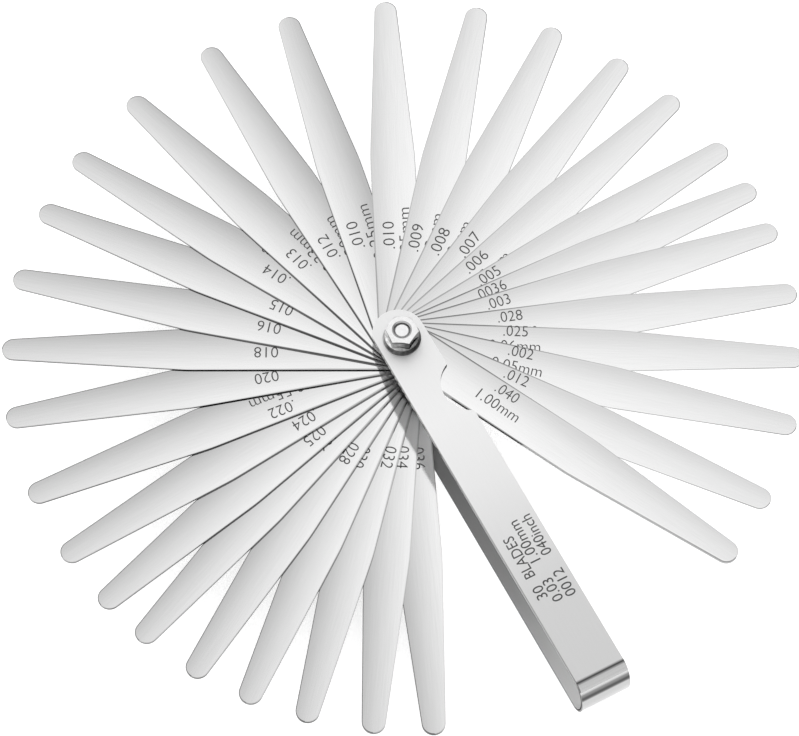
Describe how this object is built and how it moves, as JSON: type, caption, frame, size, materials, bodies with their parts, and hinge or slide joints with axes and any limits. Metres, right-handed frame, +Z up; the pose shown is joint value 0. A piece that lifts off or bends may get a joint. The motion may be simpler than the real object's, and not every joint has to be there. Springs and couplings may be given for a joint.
{
  "type": "feeler gauge",
  "caption": "Feeler gauge: graded steel blades that fan out on one clamping screw from a bent-strap holder with a thumb notch.",
  "frame": {"origin": "on the pivot axis, on the underside of the hexagon screw head", "axes": "+Z up the pivot axis from screw head to nut, +X along the holder from the pivot to its bend, +Y towards the edge with the thumb notch"},
  "size_m": [0.1965, 0.192, 0.0217],
  "materials": {
    "holder_steel": "satin brushed stainless strap",
    "plated_steel": "bright nickel plate",
    "blade_steel": "ground and polished spring steel"
  },
  "bodies": {
    "holder": {"holder": "holder_steel", "pivot_screw": "plated_steel"},
    "flange_nut": {"flange_nut": "plated_steel"},
    "blade_1_00mm": {"blade_1_00mm": "blade_steel"},
    "blade_0_03mm": {"blade_0_03mm": "blade_steel"},
    "blade_0_05mm": {"blade_0_05mm": "blade_steel"},
    "blade_0_06mm": {"blade_0_06mm": "blade_steel"},
    "blade_0_07mm": {"blade_0_07mm": "blade_steel"},
    "blade_0_08mm": {"blade_0_08mm": "blade_steel"},
    "blade_0_09mm": {"blade_0_09mm": "blade_steel"},
    "blade_0_13mm": {"blade_0_13mm": "blade_steel"},
    "blade_0_15mm": {"blade_0_15mm": "blade_steel"},
    "blade_0_18mm": {"blade_0_18mm": "blade_steel"},
    "blade_0_20mm": {"blade_0_20mm": "blade_steel"},
    "blade_0_23mm": {"blade_0_23mm": "blade_steel"},
    "blade_0_25mm": {"blade_0_25mm": "blade_steel"},
    "blade_0_25mm_second": {"blade_0_25mm_second": "blade_steel"},
    "blade_0_30mm": {"blade_0_30mm": "blade_steel"},
    "blade_0_33mm": {"blade_0_33mm": "blade_steel"},
    "blade_0_35mm": {"blade_0_35mm": "blade_steel"},
    "blade_0_38mm": {"blade_0_38mm": "blade_steel"},
    "blade_0_40mm": {"blade_0_40mm": "blade_steel"},
    "blade_0_45mm": {"blade_0_45mm": "blade_steel"},
    "blade_0_50mm": {"blade_0_50mm": "blade_steel"},
    "blade_0_55mm": {"blade_0_55mm": "blade_steel"},
    "blade_0_60mm": {"blade_0_60mm": "blade_steel"},
    "blade_0_63mm": {"blade_0_63mm": "blade_steel"},
    "blade_0_65mm": {"blade_0_65mm": "blade_steel"},
    "blade_0_70mm": {"blade_0_70mm": "blade_steel"},
    "blade_0_75mm": {"blade_0_75mm": "blade_steel"},
    "blade_0_80mm": {"blade_0_80mm": "blade_steel"},
    "blade_0_85mm": {"blade_0_85mm": "blade_steel"},
    "blade_0_90mm": {"blade_0_90mm": "blade_steel"}
  },
  "joints": [
    {"name": "nut_turn", "type": "hinge", "parent": "holder", "child": "flange_nut", "pos_m": [0, 0, 0.01893], "axis": [0, 0, 1], "range_deg": [0, 90]},
    {"name": "swing_1_00mm", "type": "hinge", "parent": "holder", "child": "blade_1_00mm", "pos_m": [0, 0, 0.01561], "axis": [0, 0, 1], "range_deg": [-26, 334]},
    {"name": "swing_0_03mm", "type": "hinge", "parent": "holder", "child": "blade_0_03mm", "pos_m": [0, 0, 0.01507], "axis": [0, 0, 1], "range_deg": [-36, 324]},
    {"name": "swing_0_05mm", "type": "hinge", "parent": "holder", "child": "blade_0_05mm", "pos_m": [0, 0, 0.01502], "axis": [0, 0, 1], "range_deg": [-48.5, 311.5]},
    {"name": "swing_0_06mm", "type": "hinge", "parent": "holder", "child": "blade_0_06mm", "pos_m": [0, 0, 0.01494], "axis": [0, 0, 1], "range_deg": [-59.5, 300.5]},
    {"name": "swing_0_07mm", "type": "hinge", "parent": "holder", "child": "blade_0_07mm", "pos_m": [0, 0, 0.01486], "axis": [0, 0, 1], "range_deg": [-70, 290]},
    {"name": "swing_0_08mm", "type": "hinge", "parent": "holder", "child": "blade_0_08mm", "pos_m": [0, 0, 0.01476], "axis": [0, 0, 1], "range_deg": [-80.5, 279.5]},
    {"name": "swing_0_09mm", "type": "hinge", "parent": "holder", "child": "blade_0_09mm", "pos_m": [0, 0, 0.01465], "axis": [0, 0, 1], "range_deg": [-88, 272]},
    {"name": "swing_0_13mm", "type": "hinge", "parent": "holder", "child": "blade_0_13mm", "pos_m": [0, 0, 0.01452], "axis": [0, 0, 1], "range_deg": [-96, 264]},
    {"name": "swing_0_15mm", "type": "hinge", "parent": "holder", "child": "blade_0_15mm", "pos_m": [0, 0, 0.01436], "axis": [0, 0, 1], "range_deg": [-107, 253]},
    {"name": "swing_0_18mm", "type": "hinge", "parent": "holder", "child": "blade_0_18mm", "pos_m": [0, 0, 0.01418], "axis": [0, 0, 1], "range_deg": [-117, 243]},
    {"name": "swing_0_20mm", "type": "hinge", "parent": "holder", "child": "blade_0_20mm", "pos_m": [0, 0, 0.01397], "axis": [0, 0, 1], "range_deg": [-128.5, 231.5]},
    {"name": "swing_0_23mm", "type": "hinge", "parent": "holder", "child": "blade_0_23mm", "pos_m": [0, 0, 0.01374], "axis": [0, 0, 1], "range_deg": [-140.5, 219.5]},
    {"name": "swing_0_25mm", "type": "hinge", "parent": "holder", "child": "blade_0_25mm", "pos_m": [0, 0, 0.01348], "axis": [0, 0, 1], "range_deg": [-154.5, 205.5]},
    {"name": "swing_0_25mm_second", "type": "hinge", "parent": "holder", "child": "blade_0_25mm_second", "pos_m": [0, 0, 0.0132], "axis": [0, 0, 1], "range_deg": [-169.5, 190.5]},
    {"name": "swing_0_30mm", "type": "hinge", "parent": "holder", "child": "blade_0_30mm", "pos_m": [0, 0, 0.01291], "axis": [0, 0, 1], "range_deg": [-182.5, 177.5]},
    {"name": "swing_0_33mm", "type": "hinge", "parent": "holder", "child": "blade_0_33mm", "pos_m": [0, 0, 0.01257], "axis": [0, 0, 1], "range_deg": [-196.5, 163.5]},
    {"name": "swing_0_35mm", "type": "hinge", "parent": "holder", "child": "blade_0_35mm", "pos_m": [0, 0, 0.01222], "axis": [0, 0, 1], "range_deg": [-209, 151]},
    {"name": "swing_0_38mm", "type": "hinge", "parent": "holder", "child": "blade_0_38mm", "pos_m": [0, 0, 0.01183], "axis": [0, 0, 1], "range_deg": [-219, 141]},
    {"name": "swing_0_40mm", "type": "hinge", "parent": "holder", "child": "blade_0_40mm", "pos_m": [0, 0, 0.01142], "axis": [0, 0, 1], "range_deg": [-230.5, 129.5]},
    {"name": "swing_0_45mm", "type": "hinge", "parent": "holder", "child": "blade_0_45mm", "pos_m": [0, 0, 0.01098], "axis": [0, 0, 1], "range_deg": [-242, 118]},
    {"name": "swing_0_50mm", "type": "hinge", "parent": "holder", "child": "blade_0_50mm", "pos_m": [0, 0, 0.01048], "axis": [0, 0, 1], "range_deg": [-253, 107]},
    {"name": "swing_0_55mm", "type": "hinge", "parent": "holder", "child": "blade_0_55mm", "pos_m": [0, 0, 0.00993], "axis": [0, 0, 1], "range_deg": [-265.5, 94.5]},
    {"name": "swing_0_60mm", "type": "hinge", "parent": "holder", "child": "blade_0_60mm", "pos_m": [0, 0, 0.00934], "axis": [0, 0, 1], "range_deg": [-276, 84]},
    {"name": "swing_0_63mm", "type": "hinge", "parent": "holder", "child": "blade_0_63mm", "pos_m": [0, 0, 0.0087], "axis": [0, 0, 1], "range_deg": [-285, 75]},
    {"name": "swing_0_65mm", "type": "hinge", "parent": "holder", "child": "blade_0_65mm", "pos_m": [0, 0, 0.00805], "axis": [0, 0, 1], "range_deg": [-292.5, 67.5]},
    {"name": "swing_0_70mm", "type": "hinge", "parent": "holder", "child": "blade_0_70mm", "pos_m": [0, 0, 0.00735], "axis": [0, 0, 1], "range_deg": [-301.5, 58.5]},
    {"name": "swing_0_75mm", "type": "hinge", "parent": "holder", "child": "blade_0_75mm", "pos_m": [0, 0, 0.0066], "axis": [0, 0, 1], "range_deg": [-310, 50]},
    {"name": "swing_0_80mm", "type": "hinge", "parent": "holder", "child": "blade_0_80mm", "pos_m": [0, 0, 0.00581], "axis": [0, 0, 1], "range_deg": [-318.5, 41.5]},
    {"name": "swing_0_85mm", "type": "hinge", "parent": "holder", "child": "blade_0_85mm", "pos_m": [0, 0, 0.00496], "axis": [0, 0, 1], "range_deg": [-328, 32]},
    {"name": "swing_0_90mm", "type": "hinge", "parent": "holder", "child": "blade_0_90mm", "pos_m": [0, 0, 0.00407], "axis": [0, 0, 1], "range_deg": [-336.5, 23.5]}
  ]
}
